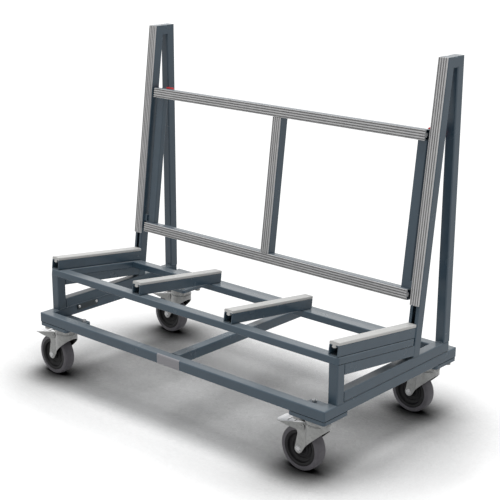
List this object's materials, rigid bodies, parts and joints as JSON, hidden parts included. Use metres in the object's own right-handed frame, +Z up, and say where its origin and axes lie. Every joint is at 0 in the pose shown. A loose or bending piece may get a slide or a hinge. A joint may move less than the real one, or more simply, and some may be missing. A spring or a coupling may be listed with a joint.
{
  "type": "sheet goods cart",
  "caption": "Workshop cart for sheet goods: welded tube base on braked swivel casters, a tipped bed of lined channels, leaning lined uprights and a clamped back frame.",
  "frame": {"origin": "on the floor, at the middle of the cart's box seen from above", "axes": "+X along the cart to its right end as seen by someone who loads it, +Y from the loading side to the back, +Z up; the floor is z = 0"},
  "size_m": [1.1624, 0.6, 1.03],
  "materials": {
    "frame_paint": "satin blue-grey powder coat",
    "grooved_lining": "matt grey grooved strip",
    "bed_lining": "smooth off-white slide strip",
    "zinc_steel": "bright zinc plate",
    "hub_black": "matt black moulding",
    "tyre_grey": "matt grey tread",
    "knob_red": "glossy red moulding"
  },
  "bodies": {
    "cart": {"base_front_rail": "frame_paint", "base_back_rail": "frame_paint", "base_left_rail": "frame_paint", "base_right_rail": "frame_paint", "base_cross_rail": "frame_paint", "corner_plates": "frame_paint", "lower_rails": "frame_paint", "front_posts": "frame_paint", "tilted_rails": "frame_paint", "rear_posts": "frame_paint", "left_upright": "frame_paint", "right_upright": "frame_paint", "top_ties": "frame_paint", "bed_front_rail": "frame_paint", "bed_back_rail": "frame_paint", "bed_left_rail": "frame_paint", "bed_right_rail": "frame_paint", "channel_1": "frame_paint", "channel_2": "frame_paint", "channel_3": "frame_paint", "channel_4": "frame_paint", "slide_lining_1": "bed_lining", "slide_lining_2": "bed_lining", "slide_lining_3": "bed_lining", "slide_lining_4": "bed_lining", "upright_linings": "grooved_lining", "back_bottom_rail": "frame_paint", "back_top_rail": "frame_paint", "back_left_stile": "frame_paint", "back_right_stile": "frame_paint", "back_middle_stile": "frame_paint", "bottom_rail_lining": "grooved_lining", "top_rail_lining": "grooved_lining", "middle_lining": "grooved_lining", "tabs_and_plates": "frame_paint", "plate_bolts": "zinc_steel", "caster_heads": "zinc_steel", "kingpins": "zinc_steel"},
    "front_left_swivel_fork": {"front_left_fork": "zinc_steel", "front_left_axle": "zinc_steel"},
    "front_left_wheel": {"front_left_hub": "hub_black", "front_left_tyre": "tyre_grey"},
    "front_left_brake_pedal": {"front_left_pedal": "zinc_steel"},
    "front_right_swivel_fork": {"front_right_fork": "zinc_steel", "front_right_axle": "zinc_steel"},
    "front_right_wheel": {"front_right_hub": "hub_black", "front_right_tyre": "tyre_grey"},
    "front_right_brake_pedal": {"front_right_pedal": "zinc_steel"},
    "rear_left_swivel_fork": {"rear_left_fork": "zinc_steel", "rear_left_axle": "zinc_steel"},
    "rear_left_wheel": {"rear_left_hub": "hub_black", "rear_left_tyre": "tyre_grey"},
    "rear_left_brake_pedal": {"rear_left_pedal": "zinc_steel"},
    "rear_right_swivel_fork": {"rear_right_fork": "zinc_steel", "rear_right_axle": "zinc_steel"},
    "rear_right_wheel": {"rear_right_hub": "hub_black", "rear_right_tyre": "tyre_grey"},
    "rear_right_brake_pedal": {"rear_right_pedal": "zinc_steel"},
    "left_clamp_knob": {"left_knob": "knob_red"},
    "right_clamp_knob": {"right_knob": "knob_red"}
  },
  "joints": [
    {"name": "front_left_swivel", "type": "hinge", "parent": "cart", "child": "front_left_swivel_fork", "pos_m": [-0.4602, -0.2487, 0.143], "axis": [0, 0, 1], "continuous": true},
    {"name": "front_left_roll", "type": "hinge", "parent": "front_left_swivel_fork", "child": "front_left_wheel", "pos_m": [-0.5072, -0.2487, 0.0625], "axis": [0, 1, 0], "continuous": true},
    {"name": "front_left_brake", "type": "hinge", "parent": "front_left_swivel_fork", "child": "front_left_brake_pedal", "pos_m": [-0.4972, -0.2487, 0.1295], "axis": [0, -1, 0], "range_deg": [0, 8]},
    {"name": "front_right_swivel", "type": "hinge", "parent": "cart", "child": "front_right_swivel_fork", "pos_m": [0.5226, -0.2487, 0.143], "axis": [0, 0, 1], "continuous": true},
    {"name": "front_right_roll", "type": "hinge", "parent": "front_right_swivel_fork", "child": "front_right_wheel", "pos_m": [0.4756, -0.2487, 0.0625], "axis": [0, 1, 0], "continuous": true},
    {"name": "front_right_brake", "type": "hinge", "parent": "front_right_swivel_fork", "child": "front_right_brake_pedal", "pos_m": [0.4856, -0.2487, 0.1295], "axis": [0, -1, 0], "range_deg": [0, 8]},
    {"name": "rear_left_swivel", "type": "hinge", "parent": "cart", "child": "rear_left_swivel_fork", "pos_m": [-0.4602, 0.2487, 0.143], "axis": [0, 0, 1], "continuous": true},
    {"name": "rear_left_roll", "type": "hinge", "parent": "rear_left_swivel_fork", "child": "rear_left_wheel", "pos_m": [-0.5072, 0.2487, 0.0625], "axis": [0, 1, 0], "continuous": true},
    {"name": "rear_left_brake", "type": "hinge", "parent": "rear_left_swivel_fork", "child": "rear_left_brake_pedal", "pos_m": [-0.4972, 0.2487, 0.1295], "axis": [0, -1, 0], "range_deg": [0, 8]},
    {"name": "rear_right_swivel", "type": "hinge", "parent": "cart", "child": "rear_right_swivel_fork", "pos_m": [0.5226, 0.2487, 0.143], "axis": [0, 0, 1], "continuous": true},
    {"name": "rear_right_roll", "type": "hinge", "parent": "rear_right_swivel_fork", "child": "rear_right_wheel", "pos_m": [0.4756, 0.2487, 0.0625], "axis": [0, 1, 0], "continuous": true},
    {"name": "rear_right_brake", "type": "hinge", "parent": "rear_right_swivel_fork", "child": "rear_right_brake_pedal", "pos_m": [0.4856, 0.2487, 0.1295], "axis": [0, -1, 0], "range_deg": [0, 8]},
    {"name": "left_knob_turn", "type": "hinge", "parent": "cart", "child": "left_clamp_knob", "pos_m": [-0.4628, 0.19404, 0.82213], "axis": [0, 0.9917, -0.1288], "continuous": true},
    {"name": "right_knob_turn", "type": "hinge", "parent": "cart", "child": "right_clamp_knob", "pos_m": [0.5252, 0.19404, 0.82213], "axis": [0, 0.9917, -0.1288], "continuous": true}
  ]
}
